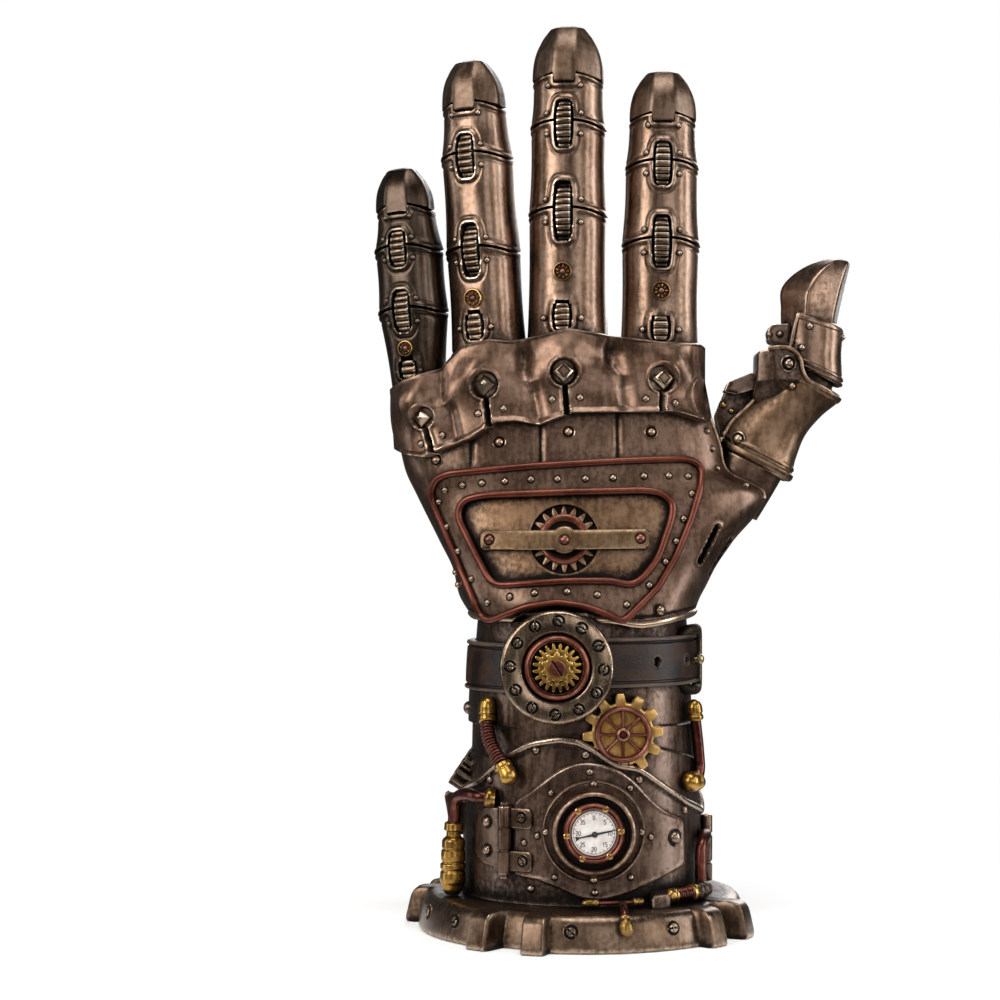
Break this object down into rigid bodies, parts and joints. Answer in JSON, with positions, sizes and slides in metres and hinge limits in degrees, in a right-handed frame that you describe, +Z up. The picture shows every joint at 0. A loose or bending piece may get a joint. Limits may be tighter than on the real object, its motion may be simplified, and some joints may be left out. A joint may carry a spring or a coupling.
{
  "type": "mechanical gauntlet statuette on a gear stand",
  "caption": "Upright left-hand mechanical gauntlet statuette with plated fingers, riveted back shield, strapped cuff with gauge, gears and pipes, on a round toothed stand.",
  "frame": {"origin": "centre of the stand's flat underside", "axes": "+Z up along the forearm and hand, the back of the hand faces -Y, the thumb points to +X"},
  "size_m": [0.133, 0.097, 0.2511],
  "materials": {
    "bronze": "antique bronze finish, satin, rubbed bright on edges, dark wash in recesses",
    "plate": "darker antique bronze finish on plates and wheels",
    "cuff": "dark brown bronze finish on the cuff and forearm",
    "copper": "reddish copper paint on piping, pipes and wheels",
    "brass": "yellow brass paint on gears and fittings",
    "leather": "dark brown leather-look strap",
    "enamel": "off-white dial under a thin gloss coat"
  },
  "bodies": {
    "root": {"gear_stand": "bronze", "shield_bar": "bronze", "knuckle_guard": "bronze", "thumb_sleeve": "bronze", "thumb_ring": "bronze", "thumb_tip": "bronze", "index_proximal": "bronze", "index_middle": "bronze", "index_distal": "bronze", "index_tip": "bronze", "middle_proximal": "bronze", "middle_middle": "bronze", "middle_distal": "bronze", "middle_tip": "bronze", "ring_proximal": "bronze", "ring_middle": "bronze", "ring_distal": "bronze", "ring_tip": "bronze", "pinky_proximal": "bronze", "pinky_middle": "bronze", "pinky_distal": "bronze", "pinky_tip": "bronze", "cuff_door": "plate", "gauge_boss": "plate", "hinge_left": "plate", "hinge_right": "plate", "dial_plate": "plate", "hand_core": "plate", "back_shield": "plate", "thumb_socket": "plate", "thumb_link": "plate", "index_wheel_low": "plate", "index_wheel_high": "plate", "middle_wheel_low": "plate", "middle_wheel_high": "plate", "ring_wheel_low": "plate", "ring_wheel_high": "plate", "pinky_wheel_low": "plate", "pinky_wheel_high": "plate", "forearm_core": "cuff", "cuff_plate": "cuff", "gauge_bezel": "copper", "dial_ring": "copper", "spoke_wheel": "copper", "coil_hose": "copper", "side_pipe": "copper", "riser_pipe": "copper", "floor_hose": "copper", "piping_outer": "copper", "piping_inner": "copper", "shield_gear": "copper", "strap_buckle": "brass", "dial_gear": "brass", "side_gear": "brass", "left_gear": "brass", "valve_pipe": "brass", "drip_pipe": "brass", "wrist_strap": "leather", "gauge_face": "enamel"}
  },
  "joints": []
}
